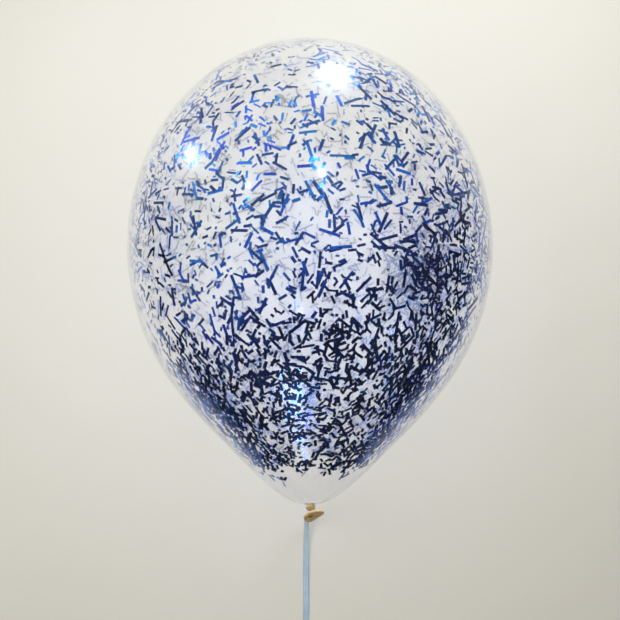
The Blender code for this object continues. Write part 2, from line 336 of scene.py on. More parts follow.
def slack_latex(settings):
    """Slack latex: the same dipped skin unstretched, amber and cloudy in patches 4 mm wide, with
    painted shade down in its folds, on the tail and towards the lip's mouth. Its matt grain is
    drawn 0.7 mm wide, coarser than real, so that it shows."""
    material, tree = new_material("slack_amber_latex")
    coords = add_node(tree, "ShaderNodeTexCoord")
    mottle = add_node(tree, "ShaderNodeTexNoise", {
        "Vector": coords.outputs["Object"],
        "Scale": 260.0,
        "Detail": 3.0,
    })
    amber = add_node(tree, "ShaderNodeValToRGB", {"Fac": mottle.outputs["Fac"]})
    set_stops(amber.color_ramp, [(0.30, linear("#BD9C66")), (0.70, settings.slack_colour)])
    # Painted shade: darker in the knot's folds, on the tail and towards the lip's pinched mouth
    depth = add_node(tree, "ShaderNodeAttribute", attribute_name="painted_fold_shade")
    fold_shaded = add_node(tree, "ShaderNodeMix", {
        "Factor": depth.outputs["Fac"],
        "A": amber.outputs["Color"],
        "B": (*linear("#2E1D0A"), 1),
    }, data_type="RGBA")
    grain = add_node(tree, "ShaderNodeTexNoise", {
        "Vector": coords.outputs["Object"],
        "Scale": 1400.0,
        "Detail": 2.0,
    })
    bump = add_node(tree, "ShaderNodeBump", {
        "Height": grain.outputs["Fac"],
        "Strength": 0.25,
        "Distance": 0.0002,
    })
    shader = add_node(tree, "ShaderNodeBsdfPrincipled", {
        "Base Color": fold_shaded.outputs["Result"],
        "Roughness": 0.52,
        "IOR": 1.45,
        "Subsurface Weight": 0.35,
        "Subsurface Radius": (0.0016, 0.0009, 0.0004),
        "Subsurface Scale": 1.0,
        "Normal": bump.outputs["Normal"],
    })
    add_node(tree, "ShaderNodeOutputMaterial", {"Surface": shader.outputs[0]})
    return material


def foil(settings):
    """Metallised polyester film, slit and chopped: blue lacquer over bright metal. Each piece is
    dyed a little differently from its neighbours, from navy through bright blue to violet."""
    material, tree = new_material("metallised_blue_film")
    tone = add_node(tree, "ShaderNodeAttribute", attribute_name="tone")
    colour = add_node(tree, "ShaderNodeValToRGB", {"Fac": tone.outputs["Fac"]})
    set_stops(colour.color_ramp, [
        (0.00, linear("#123E8E")),
        (0.28, linear("#1454B0")),
        (0.45, settings.foil_colour),
        (0.64, linear("#1C9CFF")),
        (0.80, linear("#166CF6")),
        (1.00, linear("#3450DC")),
    ])
    shader = add_node(tree, "ShaderNodeBsdfPrincipled", {
        "Base Color": colour.outputs["Color"],
        "Metallic": 1.0,
        "Roughness": 0.14,
        "Coat Weight": 0.15,
        "Coat Roughness": 0.12,
    })
    add_node(tree, "ShaderNodeOutputMaterial", {"Surface": shader.outputs[0]})
    return material


def ribbon_film(settings):
    """Curling ribbon: extruded polypropylene film, pale blue in faint patches, ribbed along its
    length. Its ribs catch the light, and are drawn 0.5 mm wide, a little coarser than real ones."""
    material, tree = new_material("pale_blue_curling_ribbon")
    coords = add_node(tree, "ShaderNodeTexCoord")
    across = add_node(tree, "ShaderNodeSeparateXYZ", {"Vector": coords.outputs["UV"]})
    ribs = add_node(tree, "ShaderNodeMath", {
        0: across.outputs["X"],
        1: 2 * math.pi * RIBS,
    }, operation="MULTIPLY")
    wave = add_node(tree, "ShaderNodeMath", {0: ribs.outputs[0]}, operation="SINE")
    bump = add_node(tree, "ShaderNodeBump", {
        "Height": wave.outputs[0],
        "Strength": 0.35,
        "Distance": 0.0001,
    })
    clouds = add_node(tree, "ShaderNodeTexNoise", {
        "Vector": coords.outputs["Object"],
        "Scale": 90.0,
        "Detail": 2.0,
    })
    colour = add_node(tree, "ShaderNodeValToRGB", {"Fac": clouds.outputs["Fac"]})
    set_stops(colour.color_ramp, [(0.35, linear("#B5CEE3")), (0.65, settings.ribbon_colour)])
    shader = add_node(tree, "ShaderNodeBsdfPrincipled", {
        "Base Color": colour.outputs["Color"],
        "Roughness": 0.34,
        "IOR": 1.49,
        "Normal": bump.outputs["Normal"],
    })
    add_node(tree, "ShaderNodeOutputMaterial", {"Surface": shader.outputs[0]})
    return material


def floor_paper(settings):
    """Matt backdrop paper: warm, pale and even, faintly clouded. Under the balloon a cool pool of
    light is painted on it. On the neck's side, out past the picture, it is painted dark only where
    it is mirrored, a painted dark reflection for the film and the strips. Well outside the picture
    a faint glow is painted in, painted light in place of lamps there, unseen where the paper is
    mirrored."""
    material, tree = new_material("matt_backdrop_paper")
    coords = add_node(tree, "ShaderNodeTexCoord").outputs["Object"]
    away = add_node(tree, "ShaderNodeVectorMath", {0: coords}, operation="LENGTH").outputs["Value"]
    place = add_node(tree, "ShaderNodeSeparateXYZ", {"Vector": coords})
    ray = add_node(tree, "ShaderNodeLightPath")
    mirrored = add_node(tree, "ShaderNodeMath", {
        0: ray.outputs["Glossy Depth"],
        1: 0.5,
    }, operation="GREATER_THAN").outputs[0]
    unmirrored = add_node(tree, "ShaderNodeMath", {0: 1.0, 1: mirrored}, operation="SUBTRACT")

    # Painted dark reflection: only what mirrors the paper sees it darker, on the neck's side
    mirrored_dark_side = add_node(tree, "ShaderNodeMapRange", {
        "Value": place.outputs["Y"],
        "From Min": 0.0,
        "From Max": 0.45,
        "To Min": mirrored,
        "To Max": 0.0,
    }, interpolation_type="SMOOTHSTEP").outputs["Result"]

    # How far each change of the paper has come, between two distances from the balloon's middle
    shares = {}
    for name, near, far, first, last in (
        # Painted dark reflection, out on the neck's side
        ("painted_dark_reflection", 0.23, 0.62, 0.0, mirrored_dark_side),
        # Painted light: a pale cool pool on the paper under the balloon
        ("under", 0.06, 0.155, 1.0, 0.0),
        # Painted light: a faint glow far out, unseen in mirrors
        ("lit", 0.42, 1.10, 0.0, unmirrored.outputs[0]),
    ):
        shares[name] = add_node(tree, "ShaderNodeMapRange", {
            "Value": away,
            "From Min": near,
            "From Max": far,
            "To Min": first,
            "To Max": last,
        }, interpolation_type="SMOOTHSTEP").outputs["Result"]

    clouds = add_node(tree, "ShaderNodeTexNoise", {"Vector": coords, "Scale": 6.0, "Detail": 4.0})
    colour = (*settings.floor_colour, 1)
    for share, other in (
        (clouds.outputs["Fac"], "#E9E5DB"),
        # Painted light pool under the balloon
        (shares["under"], "#F4F4F2"),
        # Painted dark reflection: this dark grey is seen only in mirrors
        (shares["painted_dark_reflection"], "#3A3A39"),
    ):
        colour = add_node(tree, "ShaderNodeMix", {
            "Factor": share,
            "A": colour,
            "B": (*linear(other), 1),
        }, data_type="RGBA").outputs["Result"]
    # Painted light: the far paper glows though it is no lamp
    glow = add_node(tree, "ShaderNodeMath", {0: shares["lit"], 1: 0.66}, operation="MULTIPLY")
    shader = add_node(tree, "ShaderNodeBsdfPrincipled", {
        "Base Color": colour,
        "Roughness": 0.9,
        "Specular IOR Level": 0.2,
        "Emission Color": (*linear("#EBE8E0"), 1),
        "Emission Strength": glow.outputs[0],
    })
    add_node(tree, "ShaderNodeOutputMaterial", {"Surface": shader.outputs[0]})
    return material


def piece_from(name, vertices, faces, materials, slots=None, uvs=None):
    """Make a smooth object from vertices and faces, with a material slot and UVs for each face."""
    mesh = bpy.data.meshes.new(name)
    mesh.from_pydata(vertices, [], faces)
    for material in materials:
        mesh.materials.append(material)
    if slots:
        mesh.polygons.foreach_set("material_index", slots)
    if uvs:
        layer = mesh.uv_layers.new(name="UVMap")
        layer.data.foreach_set("uv", [part for uv in uvs for part in uv])
    mesh.shade_smooth()
    mesh.update()
    obj = bpy.data.objects.new(name, mesh)
    bpy.context.scene.collection.objects.link(obj)
    return obj


def store_values(obj, name, values):
    """Store a number for each point of an object's mesh, which a node tree reads by name."""
    obj.data.attributes.new(name, "FLOAT", "POINT").data.foreach_set("value", values)


def joined(shapes):
    """Put several shapes, each points and faces, together as one."""
    points = []
    faces = []
    for shape_points, shape_faces in shapes:
        start = len(points)
        points += shape_points
        faces += [tuple(corner + start for corner in face) for face in shape_faces]
    return points, faces


def merge_close(obj):
    """Close an object's poles and seams, and turn its faces outwards."""
    bm = bmesh.new()
    bm.from_mesh(obj.data)
    bmesh.ops.remove_doubles(bm, verts=bm.verts, dist=0.000002)
    bmesh.ops.dissolve_degenerate(bm, edges=bm.edges, dist=0.000001)
    bmesh.ops.recalc_face_normals(bm, faces=bm.faces)
    bm.to_mesh(obj.data)
    bm.free()


def join_into(target, other):
    """Add another object's mesh to the target's and remove that object."""
    bm = bmesh.new()
    bm.from_mesh(target.data)
    bm.from_mesh(other.data)
    bm.to_mesh(target.data)
    bm.free()
    target.data.shade_smooth()
    mesh = other.data
    bpy.data.objects.remove(other)
    bpy.data.meshes.remove(mesh)


def bezier(start, start_handle, end_handle, end, count):
    """Read points along one cubic stretch, without its first point."""
    points = []
    for step in range(1, count + 1):
        t = step / count
        s = 1 - t
        points.append(
            start * s ** 3
            + start_handle * 3 * s * s * t
            + end_handle * 3 * s * t * t
            + end * t ** 3
        )
    return points


def envelope_outline(crown_count, waist_count, end_count):
    """Outline of the envelope as (radius, height) points, from the crown down to the neck."""
    points = []
    for step in range(crown_count + 1):
        angle = 0.5 * math.pi * step / crown_count
        points.append(Vector((RADIUS * math.sin(angle), CROWN_HEIGHT * math.cos(angle))))
    waist = points[-1]
    shoulder = Vector((SHOULDER_RADIUS, -SHOULDER_DROP))
    neck = Vector((NECK_RADIUS, -NECK_DROP))
    taper = Vector((-math.cos(TAPER_ANGLE), -math.sin(TAPER_ANGLE)))
    points += bezier(
        waist,
        waist - Vector((0, WAIST_FULLNESS)),
        shoulder - taper * SHOULDER_FULLNESS,
        shoulder,
        waist_count,
    )
    points += bezier(
        shoulder,
        shoulder + taper * END_FULLNESS,
        neck + Vector((END_BLUNTNESS, 0)),
        neck,
        end_count,
    )
    return points


def smooth_step(share):
    """Ease a share from 0 to 1, held at both ends."""
    share = min(1.0, max(0.0, share))
    return share * share * (3 - 2 * share)


def between(table, value):
    """Read a table of (place, amount) pairs at a value, straight between its entries."""
    if value <= table[0][0]:
        return table[0][1]
    for (low, first), (high, last) in zip(table, table[1:]):
        if value <= high:
            return first + (last - first) * (value - low) / (high - low)
    return table[-1][1]


def on_the_floor(place):
    """Flatten what would reach below the floor, with a soft edge to the flat spot."""
    height = 0.5 * (place.z + math.sqrt(place.z ** 2 + FLAT_ROUNDING ** 2))
    return Vector((place.x, place.y, height))


def skin_place(radius, height, angle):
    """A point of the skin: its pleats near the knot, its faint waviness and its flat spot."""
    closeness = max(0.0, 1 - (height + NECK_DROP) / PLEATED_HEIGHT)
    pleat = math.sin(9 * angle + 0.6) + 0.6 * math.sin(14 * angle + 2.1)
    radius = radius * (1 + PLEAT_DEPTH * closeness ** 1.5 * pleat)
    place = Vector((radius * math.sin(angle), height, radius * math.cos(angle)))
    swell = noise.noise(place * 22) + 0.4 * noise.noise(place * 60)
    place += place.normalized() * WAVINESS * swell * min(1.0, radius / 0.03)
    return on_the_floor(place + Vector((0, WIDEST_Y, AXIS_HEIGHT)))


def quads_between(first, second, steps):
    """Quads between two rings of points, each ring given by the number of its first point."""
    quads = []
    for step in range(steps):
        after = (step + 1) % steps
        quads.append((first + step, second + step, second + after, first + after))
    return quads


def turned_skin(outline, steps):
    """Points and faces of an outline turned round the balloon's axis, closed at the crown."""
    points = [skin_place(0.0, outline[0].y, 0.0)]
    for radius, height in outline[1:]:
        for step in range(steps):
            points.append(skin_place(radius, height, 2 * math.pi * step / steps))
    faces = [(0, 1 + step, 1 + (step + 1) % steps) for step in range(steps)]
    for ring in range(len(outline) - 2):
        faces += quads_between(1 + ring * steps, 1 + (ring + 1) * steps, steps)
    return points, faces


def outward_normals(points, faces):
    """Average normals of a turned skin at its points, pointing away from its axis."""
    mesh = bpy.data.meshes.new("normals")
    mesh.from_pydata(points, [], faces)
    mesh.update()
    normals = [normal.vector.copy() for normal in mesh.vertex_normals]
    bpy.data.meshes.remove(mesh)
    middle = Vector((0, WIDEST_Y, AXIS_HEIGHT))
    turned = 1.0 if normals[0].dot(points[0] - middle) > 0 else -1.0
    return [normal * turned for normal in normals]


def tube(path, radius_at, around, closed=False):
    """Points, quads and end caps of a tube along a path; radius_at gives each point's radius."""
    count = len(path)
    points = []
    faces = []
    side = None
    for index, place in enumerate(path):
        before = path[index - 1] if index or closed else place
        after = path[(index + 1) % count] if index + 1 < count or closed else place
        direction = (after - before).normalized()
        if side is None:
            side = direction.orthogonal().normalized()
        side = (side - direction * side.dot(direction)).normalized()
        other = direction.cross(side)
        for step in range(around):
            angle = 2 * math.pi * step / around
            offset = side * math.cos(angle) + other * math.sin(angle)
            points.append(place + offset * radius_at(index / count, angle))
    rings = count if closed else count - 1
    for ring in range(rings):
        first = ring * around
        second = ((ring + 1) % count) * around
        for step in range(around):
            after = (step + 1) % around
            faces.append((first + step, first + after, second + after, second + step))
    if not closed:
        faces.append(tuple(reversed(range(around))))
        faces.append(tuple(range((count - 1) * around, count * around)))
    return points, faces


def ring_path(centre, axis, reach, count, wobble=0.0, phase=0.0, squash=1.0):
    """A ring of points round a centre, square to an axis, waved along it and squashed in height."""
    facing = axis.to_track_quat("Z", "Y").to_matrix()
    path = []
    for step in range(count):
        angle = 2 * math.pi * step / count
        offset = facing @ Vector((
            reach * math.cos(angle),
            reach * math.sin(angle),
            wobble * math.sin(2 * angle + phase),
        ))
        offset.z *= squash
        path.append(centre + offset)
    return path


def knot_shapes():
    """The knot: a puckered core with two twisted turns of skin crossing round it."""
    rings = 18
    around = 40
    points = []
    faces = []
    for ring in range(rings + 1):
        tilt = math.pi * ring / rings
        size = math.sin(tilt)
        height = math.cos(tilt)
        for step in range(around):
            angle = 2 * math.pi * step / around
            crease = 1 + 0.07 * math.sin(7 * angle + 3 * height) * size
            radius = 0.46 * KNOT_WIDTH * size * crease
            points.append(KNOT_CENTRE + Vector((
                radius * math.sin(angle),
                0.54 * KNOT_LENGTH * height,
                radius * math.cos(angle),
            )))
    for ring in range(rings):
        faces += quads_between(ring * around, (ring + 1) * around, around)
    shapes = [(points, faces)]
    for turn, (axis, thickness, reach) in enumerate([
        (Vector((0.30, -1.0, 0.22)), 0.00125, 0.00265),
        (Vector((-0.55, -1.0, -0.15)), 0.00105, 0.00255),
    ]):
        def twisted(share, angle, thickness=thickness, turn=turn):
            """Radius of a twisted turn: grooves that wind along it."""
            grooves = math.sin(4 * angle + 2 * math.pi * 5 * share + turn)
            return thickness * (1 + 0.10 * grooves)

        path = ring_path(KNOT_CENTRE, axis, reach, 48, wobble=0.0004, phase=turn)
        shapes.append(tube(path, twisted, 20, closed=True))
    return shapes


def lip_reach(angle):
    """How far the lip reaches round its mouth: drawn out to a point one way, blunt the other."""
    return (
        0.9575
        - 0.0175 * math.cos(angle)
        + 0.0675 * math.cos(3 * angle)
        + 0.0175 * math.cos(4 * angle)
        + 0.04 * math.sin(angle) * (1 + math.cos(angle))
    )


def lip_shape():
    """The tail and the rolled lip, with the web's pleats that run to the pinched mouth."""
    bead = LIP_BEAD / 2
    ring = LIP_RING_RADIUS
    rise = KNOT_LENGTH / 2 + TAIL_REACH
    outline = [
        (0.0, -rise),
        (TAIL_RADIUS, -rise),
        (TAIL_RADIUS, -rise * 0.75),
        (TAIL_RADIUS * 0.97, -rise * 0.5),
        (TAIL_RADIUS, -bead - 0.0017),
        (TAIL_RADIUS + 0.0006, -bead - 0.0008),
        (TAIL_RADIUS + 0.0019, -bead),
        (0.62 * ring, -0.95 * bead),
        (ring - 0.8 * bead, -0.85 * bead),
    ]
    for step in range(17):
        angle = math.radians(-112 + 224 * step / 16)
        roll = 1 + 0.05 * math.sin(math.radians(75) * step)
        outline.append((ring + bead * math.cos(angle) * roll, bead * math.sin(angle) * roll))
    outline.append((ring - 0.95 * bead, 0.62 * bead))
    web_start = len(outline)
    outline += [(reach * ring, height * bead) for reach, height in LIP_WEB]
    around = 72
    points = []
    painted_shades = []
    facing = LIP_FACE.to_track_quat("Z", "Y").to_matrix()
    for index, (radius, height) in enumerate(outline):
        web = index >= web_start
        reach = radius / ring
        pinch = PINCH * max(0.0, 1 - reach) ** 1.3 if web else 0.0
        # Painted shade: darker towards the pinched mouth, and on the tail
        fold_shade = max(0.0, 1 - reach / 0.30) ** 0.35 if web else 0.0
        if not web and radius < 1.3 * TAIL_RADIUS:
            fold_shade = TAIL_PAINTED_SHADE
        for step in range(around):
            angle = 2 * math.pi * step / around
            pleats = math.sin(8 * angle + 1.0) + 0.5 * math.sin(13 * angle + 0.4)
            pleat = pleats * 0.00016 * (1 - reach) * min(1.0, 4 * reach) if web else 0.0
            lift = 0.0003 * reach ** 2 * (
                math.sin(2 * angle + 0.7) + 0.5 * math.sin(3 * angle + 2.0)
            )
            spread = 1 + min(1.0, reach) * (lip_reach(angle) - 1)
            points.append(LIP_CENTRE + facing @ Vector((
                radius * math.cos(angle) * spread - pinch,
                radius * math.sin(angle) * spread,
                height + lift + pleat,
            )))
            painted_shades.append(min(1.0, fold_shade))
    faces = []
    for ring_index in range(len(outline) - 1):
        first = ring_index * around
        second = first + around
        for step in range(around):
            after = (step + 1) % around
            faces.append((first + step, first + after, second + after, second + step))
    return points, faces, painted_shades


def build_latex(settings):
    """The whole latex piece: its thin blown skin, and the slack knot, tail and rolled lip."""
    points, faces = turned_skin(envelope_outline(44, 40, 34), SKIN_STEPS)
    normals = outward_normals(points, faces)
    inner = [point - normal * settings.wall_thickness for point, normal in zip(points, normals)]
    skin_points, skin_faces = joined([
        (points, faces),
        (inner, [tuple(reversed(face)) for face in faces]),
    ])
    rim = len(points) - SKIN_STEPS
    skin_faces += quads_between(rim, len(points) + rim, SKIN_STEPS)
    knot_points, knot_faces = joined(knot_shapes())
    lip_points, lip_faces, lip_painted_shades = lip_shape()
    all_points, all_faces = joined([
        (skin_points, skin_faces),
        (knot_points, knot_faces),
        (lip_points, lip_faces),
    ])

    slots = [0] * len(faces) + [1] * (len(skin_faces) - len(faces))
    slots += [2] * (len(all_faces) - len(slots))
    # Painted shade: the knot and the tail darkened whole, and the lip's web darker towards its
    # mouth
    painted_shades = [0.0] * len(skin_points) + [KNOT_PAINTED_SHADE] * len(knot_points) + lip_painted_shades
    clouds = [0.02 + 0.98 * smooth_step((abs(n.z) - 0.32) / 0.45) for n in normals] * 2
    clouds += [1.0] * (len(all_points) - len(clouds))
    materials = [stretched_latex(settings), latex_inner_face(settings), slack_latex(settings)]
    balloon = piece_from("latex_balloon", all_points, all_faces, materials, slots)
    store_values(balloon, "painted_fold_shade", painted_shades)
    store_values(balloon, "cloud", clouds)
    merge_close(balloon)
    # So thin and clear a skin neither shades the floor nor throws light on it
    balloon.visible_shadow = False
    balloon.visible_diffuse = False
    return balloon


def scatter_tree(name):
    """Geometry Nodes that stick strips to the inside of a skin, as static holds them there."""
    tree = bpy.data.node_groups.new(name, "GeometryNodeTree")
    for label, kind in (
        ("Geometry", "Geometry"),
        ("Share Attribute", "String"),
        ("Spacing", "Float"),
        ("Shortest", "Float"),
        ("Longest", "Float"),
        ("Narrowest", "Float"),
        ("Widest", "Float"),
        ("Deepest", "Float"),
        ("Curl", "Float"),
        ("Tilt", "Float"),
        ("Points Along", "Int"),
        ("Seed", "Int"),
        ("Material", "Material"),
    ):
        tree.interface.new_socket(label, in_out="INPUT", socket_type="NodeSocket" + kind)
    tree.interface.new_socket("Geometry", in_out="OUTPUT", socket_type="NodeSocketGeometry")
    given = add_node(tree, "NodeGroupInput").outputs

    # What the skin says at each place, and what chance says for each strip, from fixed seeds
    skin = {}
    for label, attribute in (
        ("share", given["Share Attribute"]),
        ("spread", "spread"),
        ("width", "width_share"),
    ):
        skin[label] = add_node(tree, "GeometryNodeInputNamedAttribute", {
            "Name": attribute,
        }, data_type="FLOAT").outputs["Attribute"]
    tilt_back = add_node(tree, "ShaderNodeMath", {
        0: given["Tilt"],
        1: -1.0,
    }, operation="MULTIPLY").outputs[0]
    chance = {}
    for label, low, high, seed in (
        ("depth", SHALLOWEST, given["Deepest"], 11),
        ("swing", -0.5 * math.pi, 0.5 * math.pi, 21),
        ("roll", tilt_back, given["Tilt"], 31),
        ("pitch", tilt_back, given["Tilt"], 41),
        ("length", 0.0, 1.0, 51),
        ("width", given["Narrowest"], given["Widest"], 61),
        ("tone", 0.0, 1.0, 71),
    ):
        chance[label] = add_node(tree, "FunctionNodeRandomValue", {
            2: low,
            3: high,
            "Seed": seed,
        }, data_type="FLOAT").outputs[1]

    # Places on the skin, each sunk a little into the balloon
    area = add_node(tree, "ShaderNodeMath", {
        0: given["Spacing"],
        1: given["Spacing"],
    }, operation="MULTIPLY")
    tries = add_node(tree, "ShaderNodeMath", {
        0: PLACES_TRIED,
        1: area.outputs[0],
    }, operation="DIVIDE")
    scatter = add_node(tree, "GeometryNodeDistributePointsOnFaces", {
        "Mesh": given["Geometry"],
        "Distance Min": given["Spacing"],
        "Density Max": tries.outputs[0],
        "Density Factor": skin["share"],
        "Seed": given["Seed"],
    }, distribute_method="POISSON").outputs
    inward = add_node(tree, "ShaderNodeMath", {0: chance["depth"], 1: -1.0}, operation="MULTIPLY")
    offset = add_node(tree, "ShaderNodeVectorMath", {
        0: scatter["Normal"],
        "Scale": inward.outputs[0],
    }, operation="SCALE")
    placed = add_node(tree, "GeometryNodeSetPosition", {
        "Geometry": scatter["Points"],
        "Offset": offset.outputs[0],
    })

    # One strip of unit length, curled so that its ends sink away from the skin
    strip = add_node(tree, "GeometryNodeMeshCube", {
        "Size": (1.0, 1.0, 0.004),
        "Vertices X": given["Points Along"],
        "Vertices Y": 2,
        "Vertices Z": 2,
    })
    here = add_node(tree, "GeometryNodeInputPosition")
    along = add_node(tree, "ShaderNodeSeparateXYZ", {"Vector": here.outputs[0]})
    sink = along.outputs["X"]
    for factor in (sink, given["Curl"], -4.0):
        sink = add_node(tree, "ShaderNodeMath", {
            0: sink,
            1: factor,
        }, operation="MULTIPLY").outputs[0]
    bend = add_node(tree, "ShaderNodeCombineXYZ", {"Z": sink})
    bent = add_node(tree, "GeometryNodeSetPosition", {
        "Geometry": strip.outputs["Mesh"],
        "Offset": bend.outputs[0],
    })

    # Turned from the way down the skin by a random swing, then tilted a little off it
    spin = add_node(tree, "ShaderNodeMath", {
        0: chance["swing"],
        1: skin["spread"],
    }, operation="MULTIPLY").outputs[0]
    pitch = add_node(tree, "ShaderNodeMath", {
        0: chance["pitch"],
        1: 0.3,
    }, operation="MULTIPLY").outputs[0]
    rotation = add_node(tree, "FunctionNodeAlignRotationToVector", {
        "Rotation": scatter["Rotation"],
        "Vector": (0.0, -1.0, 0.0),
    }, axis="X", pivot_axis="Z").outputs["Rotation"]
    for angles in ({"Z": spin}, {"X": chance["roll"], "Y": pitch}):
        turn = add_node(tree, "ShaderNodeCombineXYZ", angles)
        rotation = add_node(tree, "FunctionNodeRotateRotation", {
            "Rotation": rotation,
            "Rotate By": turn.outputs[0],
        }, rotation_space="LOCAL").outputs["Rotation"]

    # Sized by chance, and narrower where the skin says so
    skew = add_node(tree, "ShaderNodeMath", {0: chance["length"], 1: SHORT_BIAS}, operation="POWER")
    length = add_node(tree, "ShaderNodeMapRange", {
        "Value": skew.outputs[0],
        "To Min": given["Shortest"],
        "To Max": given["Longest"],
    }).outputs["Result"]
    breadth = add_node(tree, "ShaderNodeMath", {
        0: chance["width"],
        1: skin["width"],
    }, operation="MULTIPLY")
    size = add_node(tree, "ShaderNodeCombineXYZ", {
        "X": length,
        "Y": breadth.outputs[0],
        "Z": length,
    })
    stuck = add_node(tree, "GeometryNodeInstanceOnPoints", {
        "Points": placed.outputs["Geometry"],
        "Instance": bent.outputs["Geometry"],
        "Rotation": rotation,
        "Scale": size.outputs[0],
    })
    toned = add_node(tree, "GeometryNodeStoreNamedAttribute", {
        "Geometry": stuck.outputs["Instances"],
        "Name": "tone",
        "Value": chance["tone"],
    }, data_type="FLOAT", domain="INSTANCE")
    real = add_node(tree, "GeometryNodeRealizeInstances", {"Geometry": toned.outputs["Geometry"]})
    coated = add_node(tree, "GeometryNodeSetMaterial", {
        "Geometry": real.outputs["Geometry"],
        "Material": given["Material"],
    })
    add_node(tree, "NodeGroupOutput", {"Geometry": coated.outputs["Geometry"]})
    return tree


def sideways_at(place):
    """How far a place of the skin faces sideways: 0 at the top, 1 on the flank."""
    return abs(place.x) / max(0.001, math.hypot(place.x, place.z - AXIS_HEIGHT))


def nearness(place, spot, reach):
    """How near a place is to a spot on X and along the axis: 1 there, and little past its reach."""
    across = (place.x - spot[0]) / reach[0]
    along = (place.y - WIDEST_Y - spot[1]) / reach[1]
    return math.exp(-(across ** 2 + along ** 2))


def strips_at(place, table):
    """How many strips of one table lie on a square centimetre of the skin at a place."""
    height = place.y - WIDEST_Y
    front = place.z > AXIS_HEIGHT
    side = sideways_at(place)
    amount = between(table, height) * (1.0 if front else between(BACK_SHARE, height))
    patchy = noise.noise(place * 34 + Vector((3.1, 0, 7.7)))
    amount *= max(0.15, 1 + 0.7 * patchy)
    if table is LONG_STRIPS:
        amount *= 1 - 0.75 * smooth_step((side - 0.80) / 0.18)
    else:
        # Short ones are thicker beside the flank, more so low down, and thin out on it
        band = smooth_step((side - 0.45) / 0.25) * smooth_step((0.88 - side) / 0.14)
        amount *= 1 + (0.15 + 0.45 * smooth_step((-height - 0.05) / 0.05)) * band
        amount *= 1 - 0.62 * smooth_step((side - 0.74) / 0.16) * smooth_step(-height / 0.06)
    if front:
        for spot, reach, lost in THIN_PLACES:
            amount *= 1 - lost * nearness(place, spot, reach)
    return amount


def clump_at(place):
    """How many more strips a clump adds to a square centimetre at a place."""
    front = place.z > AXIS_HEIGHT
    return sum(
        (front_strips if front else back_strips) * nearness(place, spot, reach)
        for spot, reach, front_strips, back_strips in CLUMPS
    )


def spread_at(place):
    """How freely strips turn at a place: 1 is any way, and low on the flanks they have slid down
    and lie more along the slope."""
    low_down = smooth_step((WIDEST_Y - place.y - 0.03) / 0.06)
    return 1 - 0.5 * low_down * smooth_step((sideways_at(place) - 0.1) / 0.4)


def build_glitter(settings, latex_settings):
    """The loose strips: long ones up the sides, short ones thick towards the neck."""
    points, faces = turned_skin(envelope_outline(30, 30, 20), LINER_STEPS)
    normals = outward_normals(points, faces)
    wall = latex_settings.wall_thickness
    points = [point - normal * wall for point, normal in zip(points, normals)]
    per_area = SQUARE_CM_PER_SQUARE_M * settings.amount
    long_density = []
    short_density = []
    spreads = []
    for place in points:
        height = place.y - WIDEST_Y
        clump = clump_at(place) if height > -0.17 else 0.0
        long_share = min(1.0, max(0.1, 0.75 + height / 0.12))
        long_density.append(per_area * (strips_at(place, LONG_STRIPS) + 0.5 * clump * long_share))
        short_density.append(per_area * (strips_at(place, SHORT_STRIPS) + 0.9 * clump))
        spreads.append(spread_at(place))
    film = foil(settings)
    tree = scatter_tree("strips_on_skin")
    wider = settings.strip_width / USUAL_WIDTH
    pieces = []
    for name, densities, sizes, slimmer, seed in (
        ("glitter_long_strips", long_density, LONG_SIZES, 0.05, settings.seed),
        ("glitter_short_strips", short_density, SHORT_SIZES, 0.22, settings.seed + 100),
    ):
        closest = PLACES_KEPT / sizes["Spacing"] ** 2
        liner = piece_from(name, points, faces, [])
        store_values(liner, "strip_share", [min(1.0, density / closest) for density in densities])
        store_values(liner, "width_share", [
            (1 - slimmer * smooth_step((place.y - WIDEST_Y + 0.07) / 0.06))
            * (1.0 if place.z > AXIS_HEIGHT else settings.far_width)
            for place in points
        ])
        store_values(liner, "spread", spreads)
        merge_close(liner)
        modifier = liner.modifiers.new("Strips", "NODES")
        modifier.node_group = tree
        values = {
            **sizes,
            "Narrowest": sizes["Narrowest"] * wider,
            "Widest": sizes["Widest"] * wider,
            "Share Attribute": "strip_share",
            "Deepest": DEEPEST,
            "Curl": CURL,
            "Tilt": TILT,
            "Seed": seed,
            "Material": film,
        }
        for item in tree.interface.items_tree:
            if item.item_type == "SOCKET" and item.in_out == "INPUT" and item.name in values:
                modifier[item.identifier] = values[item.name]
        liner.update_tag()
        depsgraph = bpy.context.evaluated_depsgraph_get()
        mesh = bpy.data.meshes.new_from_object(liner.evaluated_get(depsgraph))
        liner.modifiers.clear()
        liner.data = mesh
        if not mesh.polygons:
            raise RuntimeError(f"{name} came out empty")
        mesh.shade_flat()
        # The real balloon hangs well clear of what is behind it, and no strip's shadow shows there
        liner.visible_shadow = False
        pieces.append(liner)
    return pieces


def smooth_route(route, spacing):
    """Read evenly spaced points from one smooth curve through the route's own points."""
    fine_steps = 24
    points = [Vector(point) for point in route]
    points.insert(0, 2 * points[0] - points[1])
    points.append(2 * points[-1] - points[-2])
    fine = []
    for index in range(1, len(points) - 2):
        before, start, end, after = points[index - 1:index + 3]
        for step in range(fine_steps):
            t = step / fine_steps
            fine.append(0.5 * (
                2 * start
                + (end - before) * t
                + (2 * before - 5 * start + 4 * end - after) * t ** 2
                + (3 * start - before - 3 * end + after) * t ** 3
            ))
    fine.append(points[-2])
    length = sum((b - a).length for a, b in zip(fine, fine[1:]))
    count = max(2, round(length / spacing))
    result = [fine[0]]
    travelled = 0.0
    for start, end in zip(fine, fine[1:]):
        stretch = (end - start).length
        while len(result) < count and travelled + stretch >= len(result) * length / count:
            share = (len(result) * length / count - travelled) / stretch
            result.append(start.lerp(end, share))
        travelled += stretch
    result.append(fine[-1])
    return result


